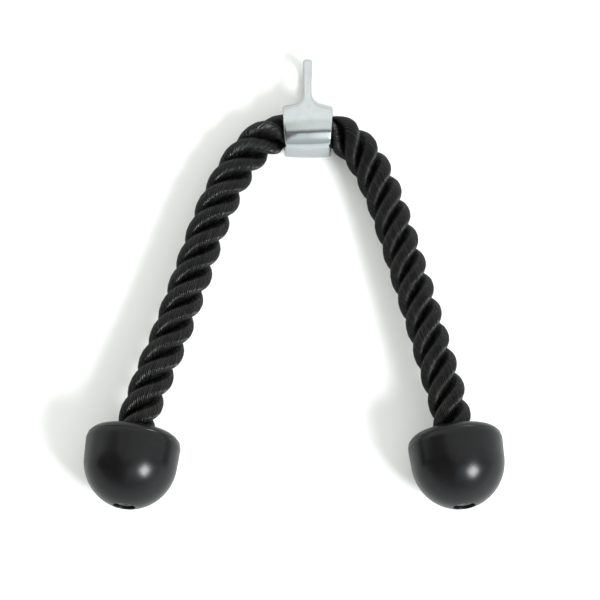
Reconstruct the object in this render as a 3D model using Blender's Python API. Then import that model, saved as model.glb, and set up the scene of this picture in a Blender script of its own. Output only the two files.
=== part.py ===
"""Triceps rope attachment: a chrome bracket with an eye, cast round the middle of a thick laid rope, and a
moulded rubber ball end on each end of the rope, held by a crimped ferrule and a screw.

Metres, +Z up. It lies as it is put down: the sleeve runs along X, the eye points along +Y, and the two arms of
the rope come forward along -Y. The origin is the middle of its outline, on the surface that it lies on.
"""

import math

import bmesh
import bpy
import numpy as np
from mathutils import Vector

clearance = 0.0003  # between pieces that touch
overrun = 0.002  # a cutter past the wall that it cuts
merge_distance = 0.00001

# Rope: 1 1/8 inch laid rope, 28.6 mm over its strands. Each arm's points run from where the arm swings, beside
# the sleeve, to the mouth of its ball end, and then to where it ends in the ferrule. The rope's steps are
# shorter than its diameter, because it turns nearly square within two diameters of the sleeve.
rope_radius = 0.0143
rope_step = 0.012
left_route = (
    (-0.0270, 0.1118, 0.0215),
    (-0.0405, 0.0973, 0.0225),
    (-0.0505, 0.0803, 0.0236),
    (-0.0585, 0.0628, 0.0247),
    (-0.0655, 0.0443, 0.0257),
    (-0.0715, 0.0258, 0.0268),
    (-0.0775, 0.0068, 0.0279),
    (-0.0835, -0.0117, 0.0290),
    (-0.0895, -0.0302, 0.0300),
    (-0.0955, -0.0487, 0.0311),
    (-0.1025, -0.0672, 0.0322),
    (-0.1095, -0.0857, 0.0333),
    (-0.1160, -0.1042, 0.0343),
    (-0.1205, -0.1232, 0.0354),
    (-0.1240, -0.1517, 0.0370),
)
right_route = (
    (0.0480, 0.1088, 0.0216),
    (0.0585, 0.0933, 0.0226),
    (0.0660, 0.0763, 0.0237),
    (0.0725, 0.0583, 0.0248),
    (0.0780, 0.0408, 0.0258),
    (0.0835, 0.0223, 0.0269),
    (0.0885, 0.0043, 0.0280),
    (0.0935, -0.0137, 0.0290),
    (0.0985, -0.0317, 0.0301),
    (0.1035, -0.0497, 0.0311),
    (0.1085, -0.0682, 0.0322),
    (0.1135, -0.0862, 0.0333),
    (0.1175, -0.1047, 0.0343),
    (0.1205, -0.1232, 0.0354),
    (0.1240, -0.1517, 0.0370),
)

# Bracket: a sleeve with a closed eye on its back, one casting. The eye's legs lean in from the sleeve to its
# crown, and it lies on one of them.
bracket_x = 0.0104
bracket_y = 0.1207
sleeve_length = 0.0382
sleeve_lean = 0.0008  # each end face leans, so that the sleeve is longer on the eye's side
sleeve_wall = 0.0047
sleeve_bulge = 0.0009
sleeve_lip = 0.0022
mouth_round = 0.0014
roof_rise = 0.0044  # how far the sleeve swells up towards the eye
roof_end_share = 0.25  # of that rise at the sleeve's ends
roof_full_angle = 30  # degrees off the eye's direction, within which the rise is full
roof_edge_angle = 80  # degrees off it where the rise ends
eye_reach = 0.0620  # from the sleeve's axis to the outside of the eye
eye_crown_reach = 0.0130  # from the eye's middle to its outside, at the crown
eye_bar_depth = 0.0075
eye_bar_width = 0.0064
eye_crown_width = 0.0076
eye_edge_round = 0.0018
eye_neck = 0.0230  # from the sleeve's axis to where the legs begin to flare
eye_foot = 0.0180  # and to where the flare is full
eye_flare = 0.0024
eye_inset = 0.0004  # how far the legs' outer sides lie inside the sleeve's
eye_root_sink = 0.0020  # how far each leg's end dips further into the sleeve's wall
leg_station_shares = (0.3, 0.62, 0.65, 0.68, 0.72, 1)
root_turn_and_sink_shares = ((0.35, 0.15), (0.7, 0.55), (1, 1))
root_turn = 28  # degrees that each leg's end follows the sleeve round
bearing_flat = 0.0060

# Ball end: a dome with a straight skirt and a rounded shoulder. Heights run from the rope's mouth to the tip.
ball_length = 0.0600
ball_dome = 0.0365
ball_radius = 0.0354
ball_lip_radius = 0.0360
ball_shoulder = 0.0110
ball_face_crown = 0.0008
ball_mouth_round = 0.0018
ball_web = 0.0080  # rubber between the socket's floor and the recess's floor
recess_radius = 0.0083
recess_depth = 0.0115
recess_round = 0.0008

# Ferrule: a steel cup crimped on the rope's end, with a tapped base.
ferrule_setback = 0.0080  # from the ball end's mouth to the ferrule's open end
ferrule_wall = 0.0020
ferrule_base = 0.0100
ferrule_chamfer = 0.0008
tape_thickness = 0.0005
tape_margin = 0.0020

# Screw and washer: M8 socket-head cap screw.
screw_radius = 0.0040
screw_length = 0.0200
screw_head_radius = 0.0065
screw_head_height = 0.0080
screw_chamfer = 0.0006
hex_across_flats = 0.0060
hex_depth = 0.0040
washer_radius = 0.0080
washer_thickness = 0.0016

# What follows from them.
bore_radius = rope_radius + clearance
sleeve_radius = bore_radius + sleeve_wall
bracket_z = sleeve_radius + sleeve_bulge
leg_reach = bracket_z - eye_inset
screw_hole_radius = screw_radius + clearance
leg_middle = leg_reach - eye_bar_depth / 2
crown_bend = eye_crown_reach - eye_bar_depth / 2 - bearing_flat / 2
crown_place = eye_reach - eye_bar_depth / 2 - crown_bend
# The angle in radians at which each leg leans in, tangent to the sleeve and to the crown's bend. The bracket
# lies tipped by as much.
leg_lean = math.asin((leg_middle - crown_bend) / math.hypot(crown_place, bearing_flat / 2))
leg_lean -= math.atan2(bearing_flat / 2, crown_place)


def material(name, colour, roughness, metallic=0.0):
    """A Principled material with the part's own colour, roughness and metallic value."""
    made = bpy.data.materials.new(name)
    made.use_nodes = True
    shader = made.node_tree.nodes["Principled BSDF"]
    shader.inputs["Base Color"].default_value = (*colour, 1.0)
    shader.inputs["Roughness"].default_value = roughness
    shader.inputs["Metallic"].default_value = metallic
    return made


def clear_scene():
    """Removes every object of the startup scene."""
    for thing in list(bpy.data.objects):
        bpy.data.objects.remove(thing)


def new_object(name, data, finish, parent):
    """Links an object, with its material, under its parent."""
    made = bpy.data.objects.new(name, data)
    bpy.context.scene.collection.objects.link(made)
    if finish:
        data.materials.append(finish)
    made.parent = parent
    return made


def arc(centre_a, centre_b, radius, start, end, steps):
    """Points of an arc in a plane, from one angle in degrees to another."""
    angles = np.radians(np.linspace(start, end, steps + 1))
    return [(centre_a + radius * math.cos(t), centre_b + radius * math.sin(t)) for t in angles]


def smooth_step(share):
    """Rises smoothly from 0 to 1 as its share does."""
    share = min(max(share, 0), 1)
    return share * share * (3 - 2 * share)


def smooth_solid(name, shape, finish, parent):
    """An object from a bmesh, shaded smooth except at its real edges."""
    mesh = bpy.data.meshes.new(name)
    shape.to_mesh(mesh)
    shape.free()
    mesh.shade_smooth()
    mesh.set_sharp_from_angle(angle=math.radians(40))
    return new_object(name, mesh, finish, parent)


def turned(name, outline, closed, steps, finish, parent):
    """A piece turned about its own Z. Its (radius, height) outline runs down the outer side from the top."""
    mesh = bpy.data.meshes.new(name)
    count = len(outline)
    edges = [(i, i + 1) for i in range(count - 1)]
    if closed:
        edges.append((count - 1, 0))
    mesh.from_pydata([(radius, 0, height) for radius, height in outline], edges, [])
    made = new_object(name, mesh, finish, parent)
    screw = made.modifiers.new("turn", "SCREW")
    screw.axis = "Z"
    screw.steps = steps
    screw.render_steps = steps
    screw.use_smooth_shade = True
    screw.use_merge_vertices = True
    screw.merge_threshold = merge_distance
    return made


def cut(piece, cutter):
    """Takes the cutter's shape out of the piece."""
    cutter.hide_render = True
    cutter.display_type = "WIRE"
    boolean = piece.modifiers.new("cut", "BOOLEAN")
    boolean.operation = "DIFFERENCE"
    boolean.object = cutter


def smooth_curve(points, end_way):
    """The cubic spline through the points that ends pointing end_way: its places, and the length to each."""
    points = np.array(points)
    knots = np.concatenate([[0], np.cumsum(np.linalg.norm(np.diff(points, axis=0), axis=1))])
    gaps = np.diff(knots)
    count = len(points)
    system = np.zeros((count, count))
    slopes = np.diff(points, axis=0) / gaps[:, None]
    known = np.zeros_like(points)
    system[0, 0] = 1
    system[-1, -2:] = gaps[-1], 2 * gaps[-1]
    known[-1] = 6 * (np.array(end_way) - slopes[-1])
    for i in range(1, count - 1):
        system[i, i - 1 : i + 2] = gaps[i - 1], 2 * (gaps[i - 1] + gaps[i]), gaps[i]
        known[i] = 6 * (slopes[i] - slopes[i - 1])
    bends = np.linalg.solve(system, known)
    along = np.linspace(0, knots[-1], 40 * count)
    i = np.clip(np.searchsorted(knots, along, side="right") - 1, 0, count - 2)
    after = (along - knots[i])[:, None]
    gap = gaps[i][:, None]
    places = (
        points[i]
        + after * (slopes[i] - gap * (2 * bends[i] + bends[i + 1]) / 6)
        + after**2 * bends[i] / 2
        + after**3 * (bends[i + 1] - bends[i]) / (6 * gap)
    )
    lengths = np.concatenate([[0], np.cumsum(np.linalg.norm(np.diff(places, axis=0), axis=1))])
    return places, lengths


def tube(name, points, shares, radius, finish, parent):
    """A round tube through the points, each with its share of the radius, as one curve with filled caps."""
    curve = bpy.data.curves.new(name, "CURVE")
    curve.dimensions = "3D"
    curve.bevel_depth = radius
    curve.bevel_resolution = 4
    curve.use_fill_caps = True
    spline = curve.splines.new("POLY")
    spline.points.add(len(points) - 1)
    for point, place, share in zip(spline.points, points, shares):
        point.co = (*place, 1)
        point.radius = share
    spline.use_smooth = True
    return new_object(name, curve, finish, parent)


def rope_arm(side, route, finish, parent):
    """The free stretch of one arm, from its round inner end at the pivot to the mouth of its ball end."""
    end_way = np.array(route[-1]) - np.array(route[-2])
    end_way = end_way / np.linalg.norm(end_way)
    places, lengths = smooth_curve(route[:-1], end_way)
    print(f"rope_{side}: {1000 * lengths[-1]:.0f} mm from its pivot to the ball end")
    reach = lengths[-1] - clearance
    steps = round(reach / rope_step)
    stations = np.linspace(0, reach, steps + 1)
    free = np.stack([np.interp(stations, lengths, places[:, k]) for k in range(3)], axis=1)
    start_way = places[1] - places[0]
    start_way = start_way / np.linalg.norm(start_way)
    # The inner end is half a ball about the pivot, so that it clears the sleeve at every angle.
    angles = np.radians((80, 60, 40, 20))
    nose = free[0] - rope_radius * np.sin(angles)[:, None] * start_way
    # A last short run along the ball end's axis squares the tube's end face to the mouth.
    free[-2] = free[-1] - rope_radius / 2 * end_way
    points = np.concatenate([nose, free]) - np.array(route[0])
    shares = np.concatenate([np.cos(angles), np.ones(len(free))])
    return tube(f"rope_{side}", points, shares, rope_radius, finish, parent)


def bracket_sleeve(finish):
    """The sleeve's casting: a closed profile spun about X, whose outer wall then swells up to the eye."""
    half = sleeve_length / 2
    outer_flat = half - sleeve_lip
    bore_flat = half - mouth_round
    stations = np.linspace(-outer_flat, outer_flat, 13)
    profile = [(x, sleeve_radius) for x in stations]
    profile += arc(outer_flat, sleeve_radius - sleeve_lip, sleeve_lip, 90, 0, 4)[1:]
    profile += arc(bore_flat, bore_radius + mouth_round, mouth_round, 0, -90, 3)
    profile += arc(-bore_flat, bore_radius + mouth_round, mouth_round, -90, -180, 3)
    profile += arc(-outer_flat, sleeve_radius - sleeve_lip, sleeve_lip, 180, 90, 4)[:-1]
    shape = bmesh.new()
    ring = [shape.verts.new((x, radius, 0)) for x, radius in profile]
    edges = [shape.edges.new((ring[i - 1], ring[i])) for i in range(len(ring))]
    bmesh.ops.spin(
        shape, geom=ring + edges, axis=(1, 0, 0), cent=(0, 0, 0), angle=math.tau, steps=48, use_merge=True
    )
    bmesh.ops.recalc_face_normals(shape, faces=shape.faces)
    for vertex in shape.verts:
        x, y, z = vertex.co
        radius = math.hypot(y, z)
        outward = (radius - bore_radius) / sleeve_wall
        share = abs(x) / half
        off_eye = math.degrees(math.acos(y / radius))
        facing = smooth_step((roof_edge_angle - off_eye) / (roof_edge_angle - roof_full_angle))
        roof = roof_end_share + (1 - roof_end_share) * max(1 - share, 0) ** 1.3
        swell = sleeve_bulge * (1 - share**2) + roof_rise * facing * roof
        vertex.co = (
            x * (1 + sleeve_lean / half * y / radius),
            y * (1 + outward * swell / radius),
            z * (1 + outward * swell / radius),
        )
    return smooth_solid("bracket", shape, finish, None)


def eye_line():
    """The middle line of the eye's bar in its own plane, from one leg's end round the crown to the other's."""
    middle = bearing_flat / 2
    lean = math.degrees(leg_lean)
    half = arc(crown_place, middle, crown_bend, 0, 90 - lean, 7)
    leg_start = np.array(half[-1])
    leg_end = leg_middle * np.array((math.sin(leg_lean), math.cos(leg_lean)))
    half += [tuple(leg_start + share * (leg_end - leg_start)) for share in leg_station_shares]
    for turn_share, sink_share in root_turn_and_sink_shares:
        angle = math.radians(90 - lean + turn_share * root_turn)
        reach = leg_middle - sink_share * eye_root_sink
        half.append((reach * math.cos(angle), reach * math.sin(angle)))
    return [(y, -z) for y, z in reversed(half)] + half


def bar_section(width):
    """The bar's rounded section: points across the bar and out from the eye's middle line."""
    across = width / 2 - eye_edge_round
    out = eye_bar_depth / 2 - eye_edge_round
    section = arc(across, out, eye_edge_round, 0, 90, 3)
    section += arc(-across, out, eye_edge_round, 90, 180, 3)
    section += arc(-across, -out, eye_edge_round, 180, 270, 3)
    section += arc(across, -out, eye_edge_round, 270, 360, 3)
    return section


def eye(parent):
    """The closed eye with its two legs: a rounded bar swept along its middle line."""
    line = np.array(eye_line())
    ways = np.gradient(line, axis=0)
    ways /= np.linalg.norm(ways, axis=1)[:, None]
    shape = bmesh.new()
    rings = []
    for (y, z), (way_y, way_z) in zip(line, ways):
        widen = smooth_step((y - eye_reach) / eye_bar_depth + 2)
        flare = smooth_step((eye_neck - y) / (eye_neck - eye_foot))
        width = eye_bar_width + widen * (eye_crown_width - eye_bar_width) + 2 * flare * eye_flare
        section = bar_section(width)
        places = [(across, y + out * way_z, z - out * way_y) for across, out in section]
        rings.append([shape.verts.new(place) for place in places])
    for ring, after in zip(rings, rings[1:]):
        for i in range(len(ring)):
            shape.faces.new((ring[i - 1], ring[i], after[i], after[i - 1]))
    shape.faces.new(rings[0])
    shape.faces.new(rings[-1])
    bmesh.ops.recalc_face_normals(shape, faces=shape.faces)
    return smooth_solid("eye", shape, None, parent)


def bracket(finish):
    """The whole casting: the sleeve with the eye joined on, and the rope's bore cut through."""
    casting = bracket_sleeve(finish)
    casting.location = (bracket_x, bracket_y, bracket_z)
    casting.rotation_euler = (-leg_lean, 0, 0)
    joined = eye(casting)
    joined.hide_render = True
    joined.display_type = "WIRE"
    join = casting.modifiers.new("eye", "BOOLEAN")
    join.operation = "UNION"
    join.object = joined
    end = sleeve_length / 2 + sleeve_lean + overrun
    outline = [(0, end), (bore_radius, end), (bore_radius, -end), (0, -end)]
    bore = turned("bore_cutter", outline, False, 48, None, casting)
    bore.rotation_euler = (0, math.pi / 2, 0)
    cut(casting, bore)
    return casting


def rope_in_sleeve(finish):
    """The stretch that the sleeve grips, with a short stub out of each end up to the arm's round inner end."""
    left_end = left_route[0][0] + rope_radius + clearance
    right_end = right_route[0][0] - rope_radius - clearance
    points = [(left_end, bracket_y, bracket_z), (right_end, bracket_y, bracket_z)]
    return tube("rope_in_sleeve", points, (1, 1), rope_radius, finish, None)


def ball_end(side, finish, parent):
    """The moulded ball end, with a stepped hole through it: a socket for the rope, a recess for the screw."""
    equator = ball_length - ball_dome
    rim = recess_radius + recess_round
    rim_angle = math.degrees(math.acos(rim / ball_radius))
    rim_height = equator + ball_dome * math.sin(math.radians(rim_angle))
    recess_floor = rim_height - recess_depth
    socket_floor = recess_floor - ball_web
    shoulder_start = ball_lip_radius - ball_shoulder
    dome = [
        (ball_radius * math.cos(math.radians(t)), equator + ball_dome * math.sin(math.radians(t)))
        for t in np.linspace(rim_angle, 0, 10)
    ]
    outline = [(recess_radius, recess_floor), (recess_radius, rim_height - recess_round)]
    outline += [(recess_radius + recess_round / 3, rim_height - recess_round / 4)]
    outline += dome
    outline += arc(shoulder_start, ball_shoulder, ball_shoulder, 0, -90, 6)
    outline += [
        (bore_radius + ball_mouth_round, -ball_face_crown),
        (bore_radius + ball_mouth_round / 3, ball_mouth_round / 3 - ball_face_crown),
        (bore_radius, ball_mouth_round - ball_face_crown),
        (bore_radius, socket_floor),
        (screw_hole_radius, socket_floor),
        (screw_hole_radius, recess_floor),
    ]
    return turned(f"ball_{side}", outline, True, 40, finish, parent), recess_floor, socket_floor


def ferrule(side, base_end, finish, parent):
    """The crimped cup: its base sits on the socket's floor, and its open end holds the rope."""
    outer = rope_radius
    inner = outer - ferrule_wall
    floor = base_end - ferrule_base
    outline = [
        (screw_hole_radius, base_end),
        (outer - ferrule_chamfer, base_end),
        (outer, base_end - ferrule_chamfer),
        (outer, ferrule_setback + ferrule_chamfer),
        (outer - ferrule_chamfer, ferrule_setback),
        (inner, ferrule_setback),
        (inner, floor),
        (screw_hole_radius, floor),
    ]
    return turned(f"ferrule_{side}", outline, True, 32, finish, parent), floor


def rope_end(side, floor, finish, parent):
    """The end of the rope: full size in the ball's mouth, drawn in by the crimp inside the ferrule."""
    crimped = rope_radius - ferrule_wall - tape_thickness - 2 * clearance
    shoulder = ferrule_setback - clearance
    outline = [
        (0, floor - clearance),
        (crimped, floor - clearance),
        (crimped, shoulder),
        (rope_radius, shoulder - ferrule_wall),
        (rope_radius, clearance / 2),
        (0, clearance / 2),
    ]
    return turned(f"rope_end_{side}", outline, False, 24, finish, parent)


def end_tape(side, floor, finish, parent):
    """Whipping tape round the cut end of the rope, between it and the ferrule."""
    outer = rope_radius - ferrule_wall - clearance
    inner = outer - tape_thickness
    top = floor - tape_margin
    low = ferrule_setback + tape_margin
    outline = [(inner, top), (outer, top), (outer, low), (inner, low)]
    return turned(f"end_tape_{side}", outline, True, 32, finish, parent)


def washer(side, floor, finish, parent):
    """The plain washer on the floor of the recess."""
    low = floor + clearance
    high = low + washer_thickness
    hole = screw_hole_radius
    outline = [(hole, high), (washer_radius, high), (washer_radius, low), (hole, low)]
    return turned(f"washer_{side}", outline, True, 32, finish, parent), high


def screw(side, seat, finish, parent):
    """The cap screw: its head is on the washer, and its hex socket faces out of the recess."""
    under_head = seat + clearance
    top = under_head + screw_head_height
    tip = under_head - screw_length
    outline = [
        (0, top),
        (screw_head_radius - screw_chamfer, top),
        (screw_head_radius, top - screw_chamfer),
        (screw_head_radius, under_head),
        (screw_radius, under_head),
        (screw_radius, tip + screw_chamfer),
        (screw_radius - screw_chamfer, tip),
        (0, tip),
    ]
    made = turned(f"screw_{side}", outline, False, 32, finish, parent)
    shape = bmesh.new()
    bmesh.ops.create_cone(
        shape,
        cap_ends=True,
        segments=6,
        radius1=hex_across_flats / math.sqrt(3),
        radius2=hex_across_flats / math.sqrt(3),
        depth=2 * hex_depth,
    )
    mesh = bpy.data.meshes.new(f"hex_cutter_{side}")
    shape.to_mesh(mesh)
    shape.free()
    cutter = new_object(f"hex_cutter_{side}", mesh, None, parent)
    cutter.location = (0, 0, top)
    cut(made, cutter)
    return made, cutter


def arm(side, route, finishes):
    """One arm of the rope with its ball end, under an empty on the axis that it swings about."""
    pivot = bpy.data.objects.new(f"arm_{side}", None)
    bpy.context.scene.collection.objects.link(pivot)
    pivot.location = route[0]
    rope_arm(side, route, finishes["rope"], pivot)
    mouth = Vector(route[-2])
    way = (Vector(route[-1]) - mouth).normalized()
    ball, recess_floor, socket_floor = ball_end(side, finishes["rubber"], pivot)
    cup, cup_floor = ferrule(side, socket_floor - clearance, finishes["steel"], pivot)
    end = rope_end(side, cup_floor, finishes["rope"], pivot)
    tape = end_tape(side, cup_floor, finishes["tape"], pivot)
    plate, seat = washer(side, recess_floor, finishes["steel"], pivot)
    bolt, hex_cutter = screw(side, seat, finishes["blackened"], pivot)
    turn = way.to_track_quat("Z", "Y").to_euler()
    for piece in (ball, cup, end, tape, plate, bolt):
        piece.location = mouth - Vector(route[0])
        piece.rotation_euler = turn
    hex_cutter.parent = bolt
    return pivot


def main():
    clear_scene()
    finishes = {
        "chrome": material("chrome_plate", (0.78, 0.81, 0.81), 0.12, 1.0),
        "rope": material("black_laid_rope", (0.018, 0.018, 0.019), 0.7),
        "rubber": material("black_moulded_rubber", (0.016, 0.017, 0.018), 0.38),
        "steel": material("zinc_plated_steel", (0.55, 0.56, 0.57), 0.35, 1.0),
        "blackened": material("blackened_steel", (0.03, 0.03, 0.03), 0.4, 1.0),
        "tape": material("whipping_tape", (0.05, 0.05, 0.05), 0.6),
    }
    bracket(finishes["chrome"])
    rope_in_sleeve(finishes["rope"])
    arm("left", left_route, finishes)
    arm("right", right_route, finishes)


main()
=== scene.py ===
"""A triceps rope attachment, dressed over its CAD frame: a three-strand rope through a chrome bracket with an eye, and
a moulded rubber ball end on each arm. Metres, +Z up, in the frame of the CAD model."""

import math

import bpy
import numpy as np
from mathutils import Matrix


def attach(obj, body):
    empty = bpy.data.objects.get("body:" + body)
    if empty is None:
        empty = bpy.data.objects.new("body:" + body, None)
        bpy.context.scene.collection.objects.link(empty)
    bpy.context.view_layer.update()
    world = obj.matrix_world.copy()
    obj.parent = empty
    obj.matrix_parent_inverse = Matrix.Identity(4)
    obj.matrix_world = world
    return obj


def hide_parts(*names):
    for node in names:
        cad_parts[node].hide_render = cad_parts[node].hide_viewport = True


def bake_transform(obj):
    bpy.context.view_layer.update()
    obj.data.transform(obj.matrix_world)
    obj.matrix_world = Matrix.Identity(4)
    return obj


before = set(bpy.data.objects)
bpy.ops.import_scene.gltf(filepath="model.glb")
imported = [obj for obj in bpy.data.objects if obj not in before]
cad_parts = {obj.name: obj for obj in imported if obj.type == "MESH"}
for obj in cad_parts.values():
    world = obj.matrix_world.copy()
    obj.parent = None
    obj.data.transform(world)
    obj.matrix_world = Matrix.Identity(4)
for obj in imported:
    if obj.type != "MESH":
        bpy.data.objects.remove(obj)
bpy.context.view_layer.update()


# The camera
# The photograph looks down on the attachment from 75 degrees above the floor, through a long lens, with no roll.
camera_elevation = 75
camera_distance = 2.0
camera_target = (0.00433, -0.01591, 0.0194)
camera_lens_mm = 155.04
camera_sensor_mm = 36

camera_data = bpy.data.cameras.new("photo_camera")
camera_data.lens = camera_lens_mm
camera_data.sensor_width = camera_sensor_mm
camera = bpy.data.objects.new("photo_camera", camera_data)
camera.location = (
    camera_target[0],
    camera_target[1] - camera_distance * math.cos(math.radians(camera_elevation)),
    camera_target[2] + camera_distance * math.sin(math.radians(camera_elevation)),
)
camera.rotation_euler = (math.radians(90 - camera_elevation), 0, 0)
bpy.context.scene.collection.objects.link(camera)
bpy.context.scene.camera = camera
bpy.context.scene.view_settings.view_transform = "Standard"


# The floor and the light
# A plain white sweep, painted a dimmer grey where reflections see it, a large soft light from the right and the front,
# and a pale room around it.
floor_size = 4.0
floor_colour = (0.93, 0.93, 0.93, 1)
# Painted shade: the floor's dimmer grey as it is seen in reflections.
floor_painted_dim_in_reflections = (0.60, 0.61, 0.61, 1)
floor_roughness = 0.7
key_azimuth = 42
key_elevation = 41
key_distance = 3.0
key_size = 0.98
key_watts = 112
key_colour = (0.95, 0.985, 1.0)
fill_colour = (1.0, 1.02, 0.98, 1)
window_colour = (1.40, 1.47, 1.50, 1)
window_sides = ((0.0, 0.17), (0.32, 0.20))
window_turns = ((0.60, 0.67), (0.81, 0.72))
dim_colour = (0.76, 0.78, 0.76, 1)
dim_sides = ((-0.34, -0.24), (-0.04, -0.15))
dim_turns = ((0.32, 0.38), (0.55, 0.53))
room_skew = 0.018
room_skew_reach = 0.2
room_bands = [
    (0.0, (1.16, 1.18, 1.18)),
    (0.22, (1.22, 1.24, 1.24)),
    (0.33, (1.02, 1.04, 1.03)),
    (0.51, (1.02, 1.05, 1.03)),
    (0.548, (0.66, 0.69, 0.69)),
    (0.582, (0.32, 0.34, 0.35)),
    (0.610, (0.24, 0.25, 0.26)),
    (0.652, (0.90, 0.95, 0.97)),
    (0.74, (0.90, 0.96, 0.98)),
    (0.80, (0.68, 0.74, 0.75)),
    (0.905, (0.54, 0.59, 0.60)),
    (0.925, (1.00, 1.05, 1.07)),
    (1.0, (1.10, 1.15, 1.17)),
]
dark_from = (-0.60, -0.20, 0.28, 0.60)
dark_to = (-0.20, -0.06, 0.86, 0.60)
dark_from_edge = ((-0.05, 0.06),)
dark_to_edge = ((-0.03, 0.05),)
dark_side_bands = [
    (0.25, (0.46, 0.46, 0.46)),
    (0.45, (0.16, 0.16, 0.16)),
    (0.62, (0.14, 0.122, 0.118)),
    (0.88, (0.36, 0.35, 0.35)),
]


def new_material(name):
    """A material with its node tree, and that tree's Principled shader."""
    made = bpy.data.materials.new(name)
    made.use_nodes = True
    return made, made.node_tree, made.node_tree.nodes["Principled BSDF"]


def add_node(tree, kind, inputs=None, **settings):
    """One node. Its settings are set by name, and each input is a value or another node's output."""
    made = tree.nodes.new(kind)
    for setting, value in settings.items():
        setattr(made, setting, value)
    for socket, value in (inputs or {}).items():
        if isinstance(value, bpy.types.NodeSocket):
            tree.links.new(value, made.inputs[socket])
        else:
            made.inputs[socket].default_value = value
    return made


def colour_ramp(tree, factor, stops):
    """A colour ramp's colour output. The stops are (place, colour) pairs."""
    ramp = add_node(tree, "ShaderNodeValToRGB", {"Fac": factor})
    while len(ramp.color_ramp.elements) < len(stops):
        ramp.color_ramp.elements.new(0.5)
    for element, (place, colour) in zip(ramp.color_ramp.elements, stops):
        element.position = place
        element.color = (*colour, 1)
    return ramp.outputs["Color"]


def number_ramp(tree, value, low, high, to_low, to_high):
    """Carries a value from one range to another, and holds it there."""
    ramp = add_node(tree, "ShaderNodeMapRange", {0: value, 1: low, 2: high, 3: to_low, 4: to_high})
    return ramp.outputs[0]


def calculate(tree, operation, first, second=0.0):
    """The output of one math node."""
    return add_node(tree, "ShaderNodeMath", {0: first, 1: second}, operation=operation).outputs[0]


def mix(tree, share, first, second):
    """The first colour where the share is 0, and the second where it is 1."""
    return add_node(tree, "ShaderNodeMix", {0: share, 6: first, 7: second}, data_type="RGBA").outputs[2]


def link_mesh(name, vertices, faces, finish):
    """An object at the origin from arrays of vertices and faces, shaded smooth."""
    mesh = bpy.data.meshes.new(name)
    mesh.from_pydata(np.asarray(vertices).tolist(), [], faces if isinstance(faces, list) else faces.tolist())
    mesh.materials.append(finish)
    mesh.shade_smooth()
    made = bpy.data.objects.new(name, mesh)
    bpy.context.scene.collection.objects.link(made)
    return made


floor_paint, tree, shader = new_material("floor_paper")
# Painted shade in reflections: the floor's colour is a dimmer grey for reflected rays only, so it looks darker where
# the chrome and rubber mirror it.
mirrored = add_node(tree, "ShaderNodeLightPath").outputs["Is Glossy Ray"]
tree.links.new(mix(tree, mirrored, floor_colour, floor_painted_dim_in_reflections), shader.inputs["Base Color"])
shader.inputs["Roughness"].default_value = floor_roughness
square = np.array([(-1, -1, 0), (1, -1, 0), (1, 1, 0), (-1, 1, 0)])
floor = link_mesh("floor", square * floor_size / 2, np.array([(0, 1, 2, 3)]), floor_paint)

azimuth = math.radians(key_azimuth)
elevation = math.radians(key_elevation)
key_way = np.array(
    (math.cos(azimuth) * math.cos(elevation), -math.sin(azimuth) * math.cos(elevation), math.sin(elevation))
)
key_data = bpy.data.lights.new("key_light", "AREA")
key_data.shape = "SQUARE"
key_data.size = key_size
key_data.energy = key_watts
key_data.color = key_colour
key = bpy.data.objects.new("key_light", key_data)
key.location = key_distance * key_way
key.rotation_euler = (math.pi / 2 - elevation, 0, math.pi / 2 - azimuth)
bpy.context.scene.collection.objects.link(key)

world = bpy.data.worlds.new("room")
world.use_nodes = True
bpy.context.scene.world = world
tree = world.node_tree
background = tree.nodes["Background"]
way = add_node(tree, "ShaderNodeTexCoord").outputs["Generated"]
parts = add_node(tree, "ShaderNodeSeparateXYZ", {0: way}).outputs
# The room's turn about the X axis, from the back's horizon over the top to the front's, in half turns. It is skewed a
# little, so that its bands lie aslant.
turn = calculate(tree, "DIVIDE", calculate(tree, "ARCTAN2", parts["Z"], parts["Y"]), math.pi)
skew = number_ramp(tree, parts["X"], -room_skew_reach, room_skew_reach, -room_skew, room_skew)
half_turns = calculate(tree, "ADD", turn, skew)
room = colour_ramp(tree, half_turns, room_bands)


def patch(*bounds):
    """The product of ramps from 0 to 1. Each bound is a value and its edges, and each edge is the value at which the
    ramp is 0 and the value at which it is 1."""
    share = 1.0
    for value, edges in bounds:
        for empty, full in edges:
            low, high = min(empty, full), max(empty, full)
            edge = number_ramp(tree, value, low, high, float(empty > full), float(full > empty))
            share = edge if share == 1.0 else calculate(tree, "MULTIPLY", share, edge)
    return share


# A window stands to the right of the front. To the left, a dim patch hangs overhead and the front is dark. The dark
# side grows wider to the left, because the half turns at which it starts and ends are ramps of the place on X.
right_of = parts["X"]
window = patch((right_of, window_sides), (half_turns, window_turns))
room = mix(tree, window, room, window_colour)
dim = patch((right_of, dim_sides), (half_turns, dim_turns))
room = mix(tree, dim, room, dim_colour)
dark_starts = number_ramp(tree, right_of, *dark_from)
dark_ends = number_ramp(tree, right_of, *dark_to)
past_start = calculate(tree, "SUBTRACT", half_turns, dark_starts)
before_end = calculate(tree, "SUBTRACT", dark_ends, half_turns)
dark = patch((past_start, dark_from_edge), (before_end, dark_to_edge))
room = mix(tree, dark, room, colour_ramp(tree, half_turns, dark_side_bands))
mirrored = add_node(tree, "ShaderNodeLightPath").outputs["Is Glossy Ray"]
tree.links.new(mix(tree, mirrored, fill_colour, room), background.inputs["Color"])
background.inputs["Strength"].default_value = 1.0


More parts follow.
